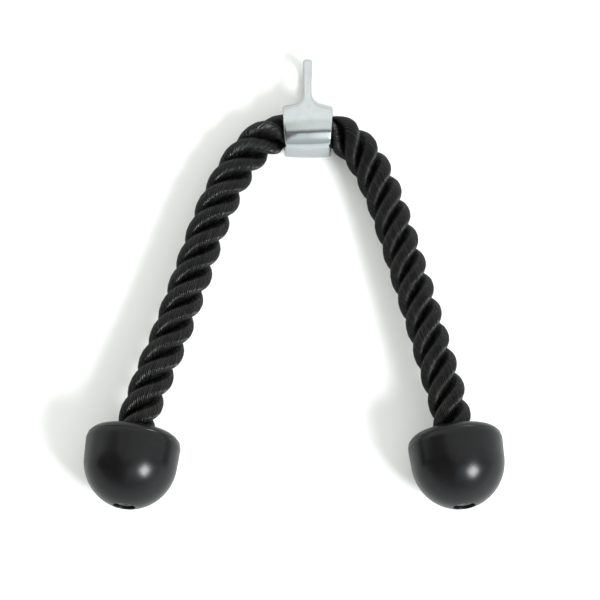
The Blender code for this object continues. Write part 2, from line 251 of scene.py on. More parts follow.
# The rope
# One black three-strand rope of 1 1/8 inch nominal size, laid to the right from hard-twisted synthetic yarns. It runs
# through the bracket's sleeve, which is pressed on its middle, and each end is held inside a ball end.
rope_radius = 0.0150
rope_in_sleeve_radius = 0.0134
rope_in_ball_radius = 0.0140
rope_in_ferrule_radius = 0.0112
strand_middle = 0.0079
groove_share = 0.40
groove_power = 2.4
crease_share = 0.26
crease_power = 8
rope_columns = 264
rope_step = 0.00079
yarns_round_strand = 32
yarn_relief = 0.00052
yarn_crown = 0.3
yarn_fall = 0.8
yarn_power = 2.6
yarn_unevenness = 0.25
yarn_shuffle = 91.7
yarn_waver = ((0.22, 0.0063, 5), (0.3, 0.0217, 3))
yarns_fade_from = 0.80
strand_lumps = ((0.012, 0.031, 2.1), (0.008, 0.0117, 1.3))
strand_shuffle = 40.37
swell_span = (-0.001, 0.012)
pinch_span = (-0.007, 0.001)
crimp_reach = 0.004
into_sleeve = 0.009
into_ball = 0.0015
shared_reach = 0.001
line_samples = 4000
cm_in_metre = 100
sleeve_middle = (0.0104, 0.1207, 0.0202)
sleeve_half = 0.0191
ferrule_place = 0.0080
ferrule_floor = 0.0287
fibres_in_yarn = 9.0
fibre_slant = 2.2
fibre_breaks = 1.4
yarn_tone_share = 0.45
fibre_tone_share = 0.75
stain_range = (0.5, 0.75)
stain_share = 0.8
# Painted shade: the span over which the rope's tone darkens towards the seams between yarns.
painted_seam_shade_range = (0.18, 0.46)
noise_range = (0.3, 0.7)
rope_roughness = (0.15, 0.31)
black_tones = [(0.0, (0.0001, 0.0001, 0.0001)), (0.55, (0.0028, 0.0026, 0.0027)), (1.0, (0.020, 0.019, 0.019))]
olive_tones = [(0.0, (0.0003, 0.0002, 0.0002)), (0.55, (0.0085, 0.0066, 0.0052)), (1.0, (0.030, 0.024, 0.019))]
rope_specular = 0.29
yarn_roundness = 2.2
fibre_height_share = 0.35
left_lay = 0.0656
left_turn = 47
right_lay = 0.0626
right_turn = -18
left_route = (
    (-0.0270, 0.1118, 0.0215),
    (-0.0405, 0.0973, 0.0225),
    (-0.0505, 0.0803, 0.0236),
    (-0.0585, 0.0628, 0.0247),
    (-0.0655, 0.0443, 0.0257),
    (-0.0715, 0.0258, 0.0268),
    (-0.0775, 0.0068, 0.0279),
    (-0.0835, -0.0117, 0.0290),
    (-0.0895, -0.0302, 0.0300),
    (-0.0955, -0.0487, 0.0311),
    (-0.1025, -0.0672, 0.0322),
    (-0.1095, -0.0857, 0.0333),
    (-0.1160, -0.1042, 0.0343),
    (-0.1205, -0.1232, 0.0354),
    (-0.1240, -0.1517, 0.0370),
)
right_route = (
    (0.0480, 0.1088, 0.0216),
    (0.0585, 0.0933, 0.0226),
    (0.0660, 0.0763, 0.0237),
    (0.0725, 0.0583, 0.0248),
    (0.0780, 0.0408, 0.0258),
    (0.0835, 0.0223, 0.0269),
    (0.0885, 0.0043, 0.0280),
    (0.0935, -0.0137, 0.0290),
    (0.0985, -0.0317, 0.0301),
    (0.1035, -0.0497, 0.0311),
    (0.1085, -0.0682, 0.0322),
    (0.1135, -0.0862, 0.0333),
    (0.1175, -0.1047, 0.0343),
    (0.1205, -0.1232, 0.0354),
    (0.1240, -0.1517, 0.0370),
)


def rope_line(route, outward):
    """The rope's centreline from the sleeve's middle to the floor of its ferrule, in steps of rope_step: a cubic
    spline by chord length, whose second slopes solve the usual banded system, with both end directions held. Gives
    the places, and the lengths at which the rope leaves the sleeve and meets the ball end."""
    middle = np.array(sleeve_middle)
    out_way = np.array((outward, 0, 0))
    mouth = np.array(route[-2])
    in_way = np.array(route[-1]) - mouth
    in_way /= np.linalg.norm(in_way)
    inside = [middle, middle + out_way * sleeve_half / 2, middle + out_way * sleeve_half]
    held = [mouth + in_way * ferrule_floor / 2, mouth + in_way * ferrule_floor]
    points = np.array([*inside, *route[:-1], *held])
    knots = np.concatenate([[0], np.cumsum(np.linalg.norm(np.diff(points, axis=0), axis=1))])
    gaps = np.diff(knots)
    slopes = np.diff(points, axis=0) / gaps[:, None]
    count = len(points)
    system = np.zeros((count, count))
    inner = np.arange(1, count - 1)
    system[inner, inner - 1] = gaps[:-1]
    system[inner, inner] = 2 * (gaps[:-1] + gaps[1:])
    system[inner, inner + 1] = gaps[1:]
    system[0, :2] = 2 * gaps[0], gaps[0]
    system[-1, -2:] = gaps[-1], 2 * gaps[-1]
    known = 6 * np.concatenate([[slopes[0] - out_way], np.diff(slopes, axis=0), [in_way - slopes[-1]]])
    bends = np.linalg.solve(system, known)

    def at(stations):
        i = np.clip(np.searchsorted(knots, stations, side="right") - 1, 0, count - 2)
        after = (stations - knots[i])[:, None]
        gap = gaps[i][:, None]
        first = slopes[i] - gap * (2 * bends[i] + bends[i + 1]) / 6
        return points[i] + after * first + after**2 * bends[i] / 2 + after**3 * (bends[i + 1] - bends[i]) / (6 * gap)

    fine = np.linspace(0, knots[-1], line_samples)
    lengths = np.concatenate([[0], np.cumsum(np.linalg.norm(np.diff(at(fine), axis=0), axis=1))])
    steps = round(lengths[-1] / rope_step)
    even = np.interp(np.linspace(0, lengths[-1], steps + 1), lengths, fine)
    leaves = np.interp(knots[len(inside) - 1], fine, lengths)
    meets = np.interp(knots[-1 - len(held)], fine, lengths)
    return at(even), lengths[-1] / steps, leaves, meets


def ease(value, low, high):
    """Rises smoothly from 0 at low to 1 at high."""
    share = np.clip((value - low) / (high - low), 0, 1)
    return share * share * (3 - 2 * share)


def across_strand(offset):
    """The radius of the rope across one strand, which falls from the crown, at 0, to the grooves, at -1 and 1, by
    groove_share times the offset to the groove_power plus crease_share times the offset to the crease_power, and the
    angle about the strand's own middle."""
    fall = groove_share * np.abs(offset) ** groove_power + crease_share * np.abs(offset) ** crease_power
    radius = rope_radius * (1 - fall)
    spread = np.radians(60) * offset
    return radius, np.arctan2(radius * np.sin(spread), radius * np.cos(spread) - strand_middle)


def waves(place, which, terms):
    """A sum of sines along the rope, each given as its height, its length over a turn, and its shift from one strand
    to the next."""
    return sum(height * np.sin(place / length + shift * which) for height, length, shift in terms)


def laid_rope(name, line, step, first, last, leaves, meets, lay, start_turn, finish):
    """The stretch of laid rope between two lengths along its line, as rings of points. Each of the three strands spans
    a third of a turn, and the section turns once in each lay. The yarns run round each strand against the lay, so
    that they lie along the rope at its crowns, each as a flattened ridge, and they sink away in the grooves."""
    rows = np.arange(round(first / step), round(last / step) + 1)
    centre = line[rows]
    ways = np.gradient(line, axis=0)[rows]
    ways /= np.linalg.norm(ways, axis=1)[:, None]
    up = np.array((0, 0, 1)) - ways[:, 2:] * ways
    up /= np.linalg.norm(up, axis=1)[:, None]
    side = np.cross(up, ways)
    along = rows * step
    past = along[:, None] - leaves

    angle = np.linspace(0, 2 * math.pi, rope_columns + 1)
    thirds = (angle - math.radians(start_turn)) / (2 * math.pi / 3) - 3 * past / lay

    def yarn_at(thirds, past, strand):
        radius, about = across_strand(2 * (thirds - strand))
        number = about / (2 * math.pi) + past / lay * rope_radius / (rope_radius - strand_middle)
        which = strand % 3
        return radius, number * yarns_round_strand + waves(past, which, yarn_waver) + strand_shuffle * which

    strand = np.round(thirds)
    offset = np.abs(2 * (thirds - strand))
    radius, yarn = yarn_at(thirds, past, strand)
    lump = waves(past, strand % 3, strand_lumps)
    swelling = ease(along, leaves + swell_span[0], leaves + swell_span[1])
    grip = rope_in_sleeve_radius + (rope_radius - rope_in_sleeve_radius) * swelling
    pinching = ease(along, meets + pinch_span[0], meets + pinch_span[1])
    crimping = ease(along, meets + ferrule_place - crimp_reach, meets + ferrule_place)
    hold = rope_radius + (rope_in_ball_radius - rope_radius) * pinching
    hold += (rope_in_ferrule_radius - rope_in_ball_radius) * crimping
    size = (np.minimum(grip, hold) / rope_radius)[:, None]
    across = 2 * (yarn - np.floor(yarn)) - 1
    uneven = yarn_unevenness * np.sin(yarn_shuffle * np.floor(yarn))
    fade = 1 - ease(offset, yarns_fade_from, 1.0)
    ridge = (yarn_crown - yarn_fall * np.abs(across) ** yarn_power + uneven) * fade
    radius = (radius * (1 + lump * fade) + yarn_relief * ridge) * size
    radius, angle = radius[:, :-1], angle[:-1]
    skin = (
        centre[:, None]
        + (radius * np.cos(angle))[..., None] * side[:, None]
        + (radius * np.sin(angle))[..., None] * up[:, None]
    )

    count = len(rows)
    row, column = np.meshgrid(np.arange(count - 1), np.arange(rope_columns), indexing="ij")
    after = (column + 1) % rope_columns
    quads = np.stack([(row, column), (row, after), (row + 1, after), (row + 1, column)], -1)
    quads = (quads[0] * rope_columns + quads[1]).reshape(-1, 4)
    ring = np.arange(rope_columns)
    next_ring = (ring + 1) % rope_columns
    far = (count - 1) * rope_columns
    near_cap = np.stack([np.full(rope_columns, count * rope_columns), next_ring, ring], 1)
    far_cap = np.stack([np.full(rope_columns, count * rope_columns + 1), far + ring, far + next_ring], 1)
    vertices = np.concatenate([skin.reshape(-1, 3), centre[:1], centre[-1:]])
    made = link_mesh(name, vertices, quads.tolist() + near_cap.tolist() + far_cap.tolist(), finish)

    # Each corner keeps its yarn's number and its length along the rope in centimetres, for the fibres' pattern. The
    # three corners of each triangle in the two caps keep none.
    rows_of = np.stack([row, row, row + 1, row + 1], -1)
    columns_of = np.stack([column, column + 1, column + 1, column], -1)
    corner_thirds = thirds[rows_of, columns_of]
    one_strand = np.round(corner_thirds.mean(-1, keepdims=True))
    corner_past = past[rows_of, 0]
    numbers = yarn_at(corner_thirds, corner_past, one_strand)[1]
    corners = np.stack([numbers, corner_past * cm_in_metre], -1).reshape(-1, 2)
    corners = np.concatenate([corners, np.zeros((2 * 3 * rope_columns, 2))])
    made.data.uv_layers.new(name="yarns").data.foreach_set("uv", corners.astype(np.float32).ravel())
    return made


def uv_parts(tree, layer):
    """The two measures that a piece keeps in its own UV layer, as X and Y."""
    place = add_node(tree, "ShaderNodeUVMap", uv_map=layer).outputs["UV"]
    return add_node(tree, "ShaderNodeSeparateXYZ", {0: place}).outputs


def noise(tree, scale, detail, place=None, roughness=0.5):
    """A noise texture's value at each place on the piece, or at places from another node."""
    if place is None:
        place = add_node(tree, "ShaderNodeTexCoord").outputs["Object"]
    inputs = {"Vector": place, "Scale": scale, "Detail": detail, "Roughness": roughness}
    return add_node(tree, "ShaderNodeTexNoise", inputs).outputs["Fac"]


def bump(tree, shader, height, strength, distance):
    """Raises the shader's surface by a height from 0 to 1 times the distance."""
    made = add_node(tree, "ShaderNodeBump", {"Strength": strength, "Distance": distance, "Height": height})
    tree.links.new(made.outputs["Normal"], shader.inputs["Normal"])


rope_finish, tree, shader = new_material("black_laid_rope")
parts = uv_parts(tree, "yarns")
yarn_number = calculate(tree, "FLOOR", parts["X"])
in_yarn = calculate(tree, "FRACT", parts["X"])
yarn_tone = add_node(tree, "ShaderNodeTexWhiteNoise", {"W": yarn_number}, noise_dimensions="1D").outputs["Value"]
fibre_across = calculate(tree, "MULTIPLY", parts["X"], fibres_in_yarn)
fibre_drift = calculate(tree, "MULTIPLY", parts["Y"], fibre_slant)
fibre_turn = calculate(tree, "ADD", fibre_across, fibre_drift)
fibre_along = calculate(tree, "MULTIPLY", parts["Y"], fibre_breaks)
fibre_place = add_node(tree, "ShaderNodeCombineXYZ", {0: fibre_turn, 1: fibre_along}).outputs[0]
fibres = noise(tree, scale=1.0, detail=3.0, place=fibre_place, roughness=0.6)
from_middle = calculate(tree, "ABSOLUTE", calculate(tree, "SUBTRACT", in_yarn, 0.5))
# Painted shade: the tone falls to black towards the seams between yarns, standing in for the shade in those creases.
# The yarn and fibre tones that it scales vary at random.
painted_seam_shade = number_ramp(tree, from_middle, *painted_seam_shade_range, 1.0, 0.0)
yarn_part = calculate(tree, "MULTIPLY", yarn_tone, yarn_tone_share)
fibre_part = calculate(tree, "MULTIPLY", fibres, fibre_tone_share)
tone_with_seam_shade = calculate(tree, "MULTIPLY", calculate(tree, "ADD", yarn_part, fibre_part), painted_seam_shade)
worn = number_ramp(tree, noise(tree, scale=42.0, detail=2.0), *stain_range, 0.0, stain_share)
mixed = mix(tree, worn, colour_ramp(tree, tone_with_seam_shade, black_tones), colour_ramp(tree, tone_with_seam_shade, olive_tones))
tree.links.new(mixed, shader.inputs["Base Color"])
tree.links.new(number_ramp(tree, fibres, *noise_range, *rope_roughness), shader.inputs["Roughness"])
shader.inputs["Specular IOR Level"].default_value = rope_specular
to_seam = calculate(tree, "POWER", calculate(tree, "MULTIPLY", from_middle, 2.0), yarn_roundness)
round_yarn = number_ramp(tree, to_seam, 0, 1, 1, 0)
height = calculate(tree, "ADD", round_yarn, calculate(tree, "MULTIPLY", fibres, fibre_height_share))
bump(tree, shader, height, strength=1.0, distance=0.00034)

for side_name, route, outward, lay, start_turn in (
    ("left", left_route, -1, left_lay, left_turn),
    ("right", right_route, 1, right_lay, right_turn),
):
    line, step, leaves, meets = rope_line(route, outward)
    kept = leaves - into_sleeve
    seat = meets + into_ball
    fixed = (leaves, meets, lay, start_turn, rope_finish)
    gripped = laid_rope(f"rope_gripped_{side_name}", line, step, 0, kept + shared_reach, *fixed)
    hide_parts("rope_in_sleeve")
    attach(gripped, "bracket")
    held = laid_rope(f"rope_held_{side_name}", line, step, seat - shared_reach, len(line) * step - step, *fixed)
    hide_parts(f"rope_end_{side_name}")
    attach(held, f"{side_name}_arm")
    arm = laid_rope(f"rope_arm_{side_name}", line, step, kept, seat, *fixed)
    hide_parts(f"rope_{side_name}")
    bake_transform(arm)


# The bracket
# One chrome-plated casting pressed on the middle of the rope: a short barrel of a sleeve, whose top swells up into the
# two legs of a closed teardrop eye. The carabiner of a pulley's cable bears on the short flat inside its crown.
bracket_tilt = 7.54
bore_radius = 0.0146
sleeve_radius = 0.0193
sleeve_lean = 0.0008
sleeve_bulge = 0.0009
sleeve_lip = 0.0017
mouth_round = 0.0017
roof_rise = 0.0044
roof_end_share = 0.25
roof_power = 1.3
roof_falls = (30, 80)
leg_middle = 0.01605
leg_sink = 0.0016
crown_place = 0.0520
crown_bend = 0.00625
crown_widens = (0.0470, 0.0580)
bearing_flat = 0.0060
bar_depth = 0.0075
bar_width = 0.0064
crown_width = 0.0076
bar_round = 0.0026
root_turn = 28
root_narrowing = 0.0020
root_power = 1.7
eye_fillet = 0.0070
least_fillet = 0.0004
fillet_widens = (0.0060, 0.0200)
round_to_width = 1.17
casting_grid = 0.0005
grid_margin = 0.002
grid_y = (-0.022, 0.064)
grid_z = (-0.025, 0.025)
smoothings = 6
slides = 2
slope_reach = 1e-5
least_steepness = 0.05
plate_tones = [(0.35, (0.555, 0.59, 0.588)), (0.65, (0.585, 0.615, 0.612))]
plate_roughness = (0.06, 0.10)


def soft_least(first, second, width):
    """The lesser of two distances, rounded where they come within width of each other."""
    close = np.maximum(width - np.abs(first - second), 0) / width
    return np.minimum(first, second) - close * close * width / 4


def soft_most(first, second, width):
    """The greater of two distances, rounded in the same way."""
    return -soft_least(-first, -second, width)


def eye_line():
    """The middle line of the eye's bar in the eye's plane: half the bearing flat, the crown's bend, the straight leg
    and the root that follows the sleeve round, and the same below in reverse."""
    tilt = math.radians(bracket_tilt)
    bend = np.linspace(0, math.pi / 2 - tilt, 24)
    crown = np.stack([crown_place + crown_bend * np.cos(bend), bearing_flat / 2 + crown_bend * np.sin(bend)], 1)
    turn = np.linspace(0, math.radians(root_turn), 10)
    reach = leg_middle - leg_sink - root_narrowing * (turn / turn[-1]) ** root_power
    root = np.stack([reach * np.cos(math.pi / 2 - tilt + turn), reach * np.sin(math.pi / 2 - tilt + turn)], 1)
    half = np.concatenate([crown, root])
    return np.concatenate([half[::-1] * (1, -1), half])


def from_eye_line(y, z):
    """The distance from each place to the eye's middle line in its plane, and the line's reach at the nearest point."""
    line = eye_line()
    starts, runs = line[:-1], np.diff(line, axis=0)
    best = np.full(y.shape, np.inf)
    reach = np.zeros(y.shape)
    for (start_y, start_z), (run_y, run_z) in zip(starts, runs):
        along = ((y - start_y) * run_y + (z - start_z) * run_z) / (run_y**2 + run_z**2)
        along = np.clip(along, 0, 1)
        near_y = start_y + along * run_y
        away = np.hypot(y - near_y, z - start_z - along * run_z)
        closer = away < best
        best = np.where(closer, away, best)
        reach = np.where(closer, near_y, reach)
    return best, reach


def casting_depth(x, y, z):
    """How far each place lies outside the casting, below zero inside it. The sleeve is the inside of a barrel whose
    radius swells along X and towards the eye, and the eye is a rounded bar about its middle line. They join in a
    wide fillet, and the bore is taken out of both."""
    radius = np.maximum(np.hypot(y, z), 1e-6)
    half = sleeve_half * (1 + sleeve_lean / sleeve_half * y / radius)
    share = np.minimum(np.abs(x) / half, 1)
    off_eye = np.degrees(np.arccos(np.clip(y / radius, -1, 1)))
    roof = roof_end_share + (1 - roof_end_share) * (1 - share) ** roof_power
    swell = sleeve_bulge * (1 - share**2) + roof_rise * (1 - ease(off_eye, *roof_falls)) * roof
    barrel = soft_most(radius - sleeve_radius - swell, np.abs(x) - half, round_to_width * sleeve_lip)
    away, reach = from_eye_line(y, z)
    width = bar_width + (crown_width - bar_width) * ease(reach, *crown_widens)
    across = np.abs(x) - width / 2 + bar_round
    out = away - bar_depth / 2 + bar_round
    bar = np.hypot(np.maximum(across, 0), np.maximum(out, 0)) + np.minimum(np.maximum(across, out), 0) - bar_round
    fillet = least_fillet + (eye_fillet - least_fillet) * ease(y, *fillet_widens)
    solid = soft_least(barrel, bar, fillet)
    return soft_most(solid, bore_radius - radius, round_to_width * mouth_round)


def skin_of(depth, low, high, step):
    """The surface where depth is zero, as vertices and quads. Each grid cell that the surface crosses gets a vertex at
    the mean of its edges' crossings, and each grid edge that it crosses gets a quad of its four cells' vertices. Each
    smoothing then moves the vertices half way to the mean of their neighbours, and they slide along the depth's slope
    back onto the surface."""
    axes = [np.arange(a, b + step, step) for a, b in zip(low, high)]
    values = depth(*np.meshgrid(*axes, indexing="ij"))
    inside = values < 0
    counts = np.array(values.shape) - 1
    total = np.zeros((*counts, 3))
    hits = np.zeros(counts)
    crossings = []
    for axis in range(3):
        near = [slice(None)] * 3
        far = [slice(None)] * 3
        near[axis], far[axis] = slice(0, -1), slice(1, None)
        near, far = tuple(near), tuple(far)
        crossed = inside[near] != inside[far]
        share = np.where(crossed, values[near] / np.where(crossed, values[near] - values[far], 1), 0)
        others = [a for a in range(3) if a != axis]
        for shift_a in (0, 1):
            for shift_b in (0, 1):
                cut = [slice(0, counts[a]) for a in range(3)]
                cut[others[0]] = slice(shift_a, shift_a + counts[others[0]])
                cut[others[1]] = slice(shift_b, shift_b + counts[others[1]])
                cut = tuple(cut)
                hits += crossed[cut]
                total[..., axis] += np.where(crossed[cut], share[cut], 0)
                total[..., others[0]] += crossed[cut] * shift_a
                total[..., others[1]] += crossed[cut] * shift_b
        crossings.append((axis, others, crossed, inside[near]))
    used = hits > 0
    number = np.full(counts, -1)
    number[used] = np.arange(used.sum())
    place = np.argwhere(used) + total[used] / hits[used][:, None]
    vertices = np.array([a[0] for a in axes]) + place * step
    quads = []
    for axis, others, crossed, starts_inside in crossings:
        at = np.argwhere(crossed)
        inner = np.ones(len(at), bool)
        for a in others:
            inner &= (at[:, a] > 0) & (at[:, a] < counts[a])
        at = at[inner]
        corners = []
        for shift_a, shift_b in ((1, 1), (0, 1), (0, 0), (1, 0)):
            cell = at.copy()
            cell[:, others[0]] -= shift_a
            cell[:, others[1]] -= shift_b
            corners.append(number[cell[:, 0], cell[:, 1], cell[:, 2]])
        quad = np.stack(corners, 1)
        flip = starts_inside[at[:, 0], at[:, 1], at[:, 2]] == (axis == 1)
        quad[flip] = quad[flip][:, ::-1]
        quads.append(quad)
    quads = np.concatenate(quads)
    for _ in range(smoothings):
        ring_sum = np.zeros_like(vertices)
        ring_count = np.zeros(len(vertices))
        for a in range(4):
            np.add.at(ring_sum, quads[:, a], vertices[quads[:, (a + 1) % 4]])
            np.add.at(ring_count, quads[:, a], 1)
        vertices = 0.5 * vertices + 0.5 * ring_sum / ring_count[:, None]
        for _ in range(slides):
            nudges = slope_reach * np.eye(3)
            rises = [depth(*(vertices + nudge).T) - depth(*(vertices - nudge).T) for nudge in nudges]
            slope = np.stack(rises, 1) / (2 * slope_reach)
            away = depth(*vertices.T)
            steep = np.maximum((slope**2).sum(1), least_steepness)
            vertices = vertices - np.clip(away / steep, -step, step)[:, None] * slope
    return vertices, quads


chrome, tree, shader = new_material("chrome_plate")
shader.inputs["Metallic"].default_value = 1.0
cloud = noise(tree, scale=130.0, detail=3.0)
tree.links.new(colour_ramp(tree, cloud, plate_tones), shader.inputs["Base Color"])
tree.links.new(number_ramp(tree, cloud, *noise_range, *plate_roughness), shader.inputs["Roughness"])
bump(tree, shader, noise(tree, scale=105.0, detail=1.0), strength=0.22, distance=0.0003)

low = (-sleeve_half - grid_margin, grid_y[0], grid_z[0])
high = (sleeve_half + grid_margin, grid_y[1], grid_z[1])
vertices, quads = skin_of(casting_depth, low, high, casting_grid)
tilt = math.radians(bracket_tilt)
turned_y = vertices[:, 1] * math.cos(tilt) + vertices[:, 2] * math.sin(tilt)
turned_z = vertices[:, 2] * math.cos(tilt) - vertices[:, 1] * math.sin(tilt)
vertices = np.stack([vertices[:, 0], turned_y, turned_z], 1) + sleeve_middle
casting = link_mesh("bracket_casting", vertices, quads, chrome)
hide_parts("bracket")
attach(casting, "bracket")


# The whipping tapes
# Black cloth tape, wound tight round each cut end of the rope in a half-overlapped spiral, so that the strands don't
# open when the ferrule is pushed on.
tape_outer = 0.0120
tape_inner = 0.0115
tape_low = 0.0100
tape_high = 0.0269
tape_lead = 0.0042
tape_ply = 0.00022
tape_rise_share = 0.93
tape_edge_share = 0.07
tape_rings = 96
tape_inner_rings = 4
around_tape = 120
thread_pace = 14.0
tape_tones = [(0.0, (0.012, 0.012, 0.012)), (1.0, (0.050, 0.050, 0.048))]
tape_roughness = (0.80, 0.62)
mm_in_metre = 1000

ends = {}
for side_name, route in (("left", left_route), ("right", right_route)):
    seat = np.array(route[-2])
    way = np.array(route[-1]) - seat
    ends[side_name] = (seat, way / np.linalg.norm(way))


def turned_piece(name, outline, end, around, finish, swell=0.0):
    """A (radius, height) outline turned round the axis of a ball end, with swell added to its radius. One that starts
    on the axis ends on it, and closes in a fan at both ends. Any other closes in itself, as a tube does. Its UV layer
    holds the millimetres round the widest place and those along the outline."""
    seat, way = end
    side = np.cross(way, (0, 0, 1))
    side /= np.linalg.norm(side)
    other = np.cross(side, way)
    solid = outline[0, 0] == 0
    rings = outline[1:-1] if solid else outline
    count = len(rings)
    angles = np.linspace(0, 2 * math.pi, around, endpoint=False)[:, None, None]
    radius, height = rings[None, :, :1] + np.asarray(swell)[..., None], rings[None, :, 1:]
    places = seat + height * way + radius * (np.cos(angles) * side + np.sin(angles) * other)
    vertices = places.reshape(-1, 3)
    turn, along = np.meshgrid(np.arange(around), np.arange(count - solid), indexing="ij")
    next_turn, next_along = (turn + 1) % around, (along + 1) % count
    quads = [turn * count + along, turn * count + next_along, next_turn * count + next_along, next_turn * count + along]
    faces = np.stack(quads, -1).reshape(-1, 4).tolist()
    length = np.concatenate([[0], np.cumsum(np.linalg.norm(np.diff(outline, axis=0), axis=1))]) * mm_in_metre
    length = np.append(length[1:-1] if solid else length, length[-1])
    round_mm = 2 * math.pi / around * outline[:, 0].max() * mm_in_metre
    corners = [(turn, along), (turn, along + 1), (turn + 1, along + 1), (turn + 1, along)]
    layer = np.stack([np.stack([t * round_mm, length[a]], -1) for t, a in corners], 2).reshape(-1, 2)
    if solid:
        poles = seat + outline[[0, -1], 1:] * way
        vertices = np.concatenate([vertices, poles])
        turn, last = np.arange(around), around * count
        next_turn = (turn + 1) % around
        faces += np.stack([np.full(around, last), turn * count, next_turn * count], 1).tolist()
        faces += np.stack([(turn + 1) * count - 1, np.full(around, last + 1), (next_turn + 1) * count - 1], 1).tolist()
        layer = np.concatenate([layer, np.zeros((2 * 3 * around, 2))])
    made = link_mesh(name, vertices, faces, finish)
    made.data.uv_layers.new(name="turned").data.foreach_set("uv", layer.astype(np.float32).ravel())
    return made


tape_cloth, tree, shader = new_material("whipping_tape")
parts = uv_parts(tree, "turned")
warp = calculate(tree, "SINE", calculate(tree, "MULTIPLY", parts["X"], thread_pace))
weft = calculate(tree, "SINE", calculate(tree, "MULTIPLY", parts["Y"], thread_pace))
weave = number_ramp(tree, calculate(tree, "MULTIPLY", warp, weft), -1, 1, 0, 1)
tree.links.new(colour_ramp(tree, weave, tape_tones), shader.inputs["Base Color"])
tree.links.new(number_ramp(tree, weave, 0, 1, *tape_roughness), shader.inputs["Roughness"])
bump(tree, shader, weave, strength=0.5, distance=0.0001)

outer_heights = np.linspace(tape_high, tape_low, tape_rings)
inner_heights = np.linspace(tape_low, tape_high, tape_inner_rings)
tape_outline = np.concatenate(
    [
        np.stack([np.full(tape_rings, tape_outer), outer_heights], 1),
        np.stack([np.full(tape_inner_rings, tape_inner), inner_heights], 1),
    ]
)
# Each wrap of the spiral lies on the one before it: it rises slowly across its width, and ends in a steep edge.
share = np.linspace(0, 1, around_tape, endpoint=False)[:, None]
wraps = outer_heights[None] / tape_lead - share
overlap = np.minimum((wraps - np.floor(wraps)) / tape_rise_share, (np.ceil(wraps) - wraps) / tape_edge_share)
swell = np.concatenate([(overlap - 1) * tape_ply, np.zeros((around_tape, tape_inner_rings))], 1)
for side_name, end in ends.items():
    tape = turned_piece(f"whipping_tape_{side_name}", tape_outline, end, around_tape, tape_cloth, swell)
    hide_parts(f"end_tape_{side_name}")
    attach(tape, f"{side_name}_arm")


# The ferrules
# A cup turned from steel bar and zinc plated, pushed over each taped end and crimped on it in three rings. Its thick
# base is bored and tapped for the screw.
ferrule_outer = 0.0143
ferrule_inner = 0.0123
ferrule_top = 0.03897
ferrule_cup_floor = 0.02897
ferrule_edge = 0.0008
crimp_places = (0.0130, 0.0180, 0.0230)
crimp_depth = 0.00055
crimp_spread = 0.0011
screw_hole_radius = 0.0043
hole_chamfer = 0.0005
mouth_chamfer = 0.0003
edge_lead = 0.0001
cup_middle = 0.0180
hole_middle = 0.0340
wall_rings = 90
around_ferrule = 120
tool_streak = 0.02
zinc_tones = [(0.35, (0.50, 0.52, 0.55)), (0.65, (0.60, 0.595, 0.57))]
zinc_roughness = (0.24, 0.40)


def bend(centre_radius, centre_height, radius, start, end, steps):
    """Points on an arc of a turned outline, between two angles in degrees."""
    angles = np.radians(np.linspace(start, end, steps))
    return np.stack([centre_radius + radius * np.cos(angles), centre_height + radius * np.sin(angles)], 1)


zinc, tree, shader = new_material("zinc_plate")
shader.inputs["Metallic"].default_value = 1.0
parts = uv_parts(tree, "turned")
streak = calculate(tree, "MULTIPLY", parts["X"], tool_streak)
tool_place = add_node(tree, "ShaderNodeCombineXYZ", {0: streak, 1: parts["Y"]}).outputs[0]
tool_marks = noise(tree, scale=9.0, detail=3.0, place=tool_place)
bloom = noise(tree, scale=220.0, detail=3.0)
tree.links.new(colour_ramp(tree, bloom, zinc_tones), shader.inputs["Base Color"])
tree.links.new(number_ramp(tree, tool_marks, *noise_range, *zinc_roughness), shader.inputs["Roughness"])
bump(tree, shader, tool_marks, strength=0.25, distance=0.00008)

wall = np.linspace(ferrule_top - ferrule_edge, ferrule_place + ferrule_edge, wall_rings)
pressed = sum(np.exp(-(((wall - crimp) / crimp_spread) ** 2)) for crimp in crimp_places) * crimp_depth
ferrule_outline = np.concatenate(
    [
        [(screw_hole_radius + hole_chamfer, ferrule_top), (ferrule_outer - ferrule_edge - edge_lead, ferrule_top)],
        bend(ferrule_outer - ferrule_edge, ferrule_top - ferrule_edge, ferrule_edge, 88, 4, 6),
        np.stack([ferrule_outer - pressed, wall], 1),
        bend(ferrule_outer - ferrule_edge, ferrule_place + ferrule_edge, ferrule_edge, -4, -88, 6),
        [(ferrule_inner + mouth_chamfer, ferrule_place), (ferrule_inner, ferrule_place + mouth_chamfer)],
        [(ferrule_inner, cup_middle), (ferrule_inner, ferrule_cup_floor)],
        [(screw_hole_radius + hole_chamfer, ferrule_cup_floor), (screw_hole_radius, ferrule_cup_floor + hole_chamfer)],
        [(screw_hole_radius, hole_middle), (screw_hole_radius, ferrule_top - hole_chamfer)],
    ]
)
for side_name, end in ends.items():
    cup = turned_piece(f"crimped_ferrule_{side_name}", ferrule_outline, end, around_ferrule, zinc)
    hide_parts(f"ferrule_{side_name}")
    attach(cup, f"{side_name}_arm")


# The ball ends
# A handful of moulded black rubber on each arm: a dome with a rounded shoulder and a flat face, where the rope goes in.
# The socket-head screw sits in a recess at its tip, and the mould's two halves met in a fine line round its shoulder.
ball_length = 0.0600
ball_dome = 0.0365
ball_radius = 0.0354
ball_lip_radius = 0.0360
ball_shoulder = 0.0110
mould_line_turn = -28
mould_line_height = 0.00030
mould_line_width = 1.0
mould_line_reach = 3
mould_line_clear = 7
ball_face_crown = 0.0008
ball_mouth_radius = 0.0146
ball_mouth_round = 0.0018
ball_web = 0.0080
recess_radius = 0.0083
recess_depth = 0.0115
recess_round = 0.0009
around_ball = 192
rubber_tones = [(0.3, (0.0034, 0.0033, 0.0038)), (0.7, (0.0050, 0.0048, 0.0055))]
rubber_roughness = (0.235, 0.285)
rubber_specular = 0.28


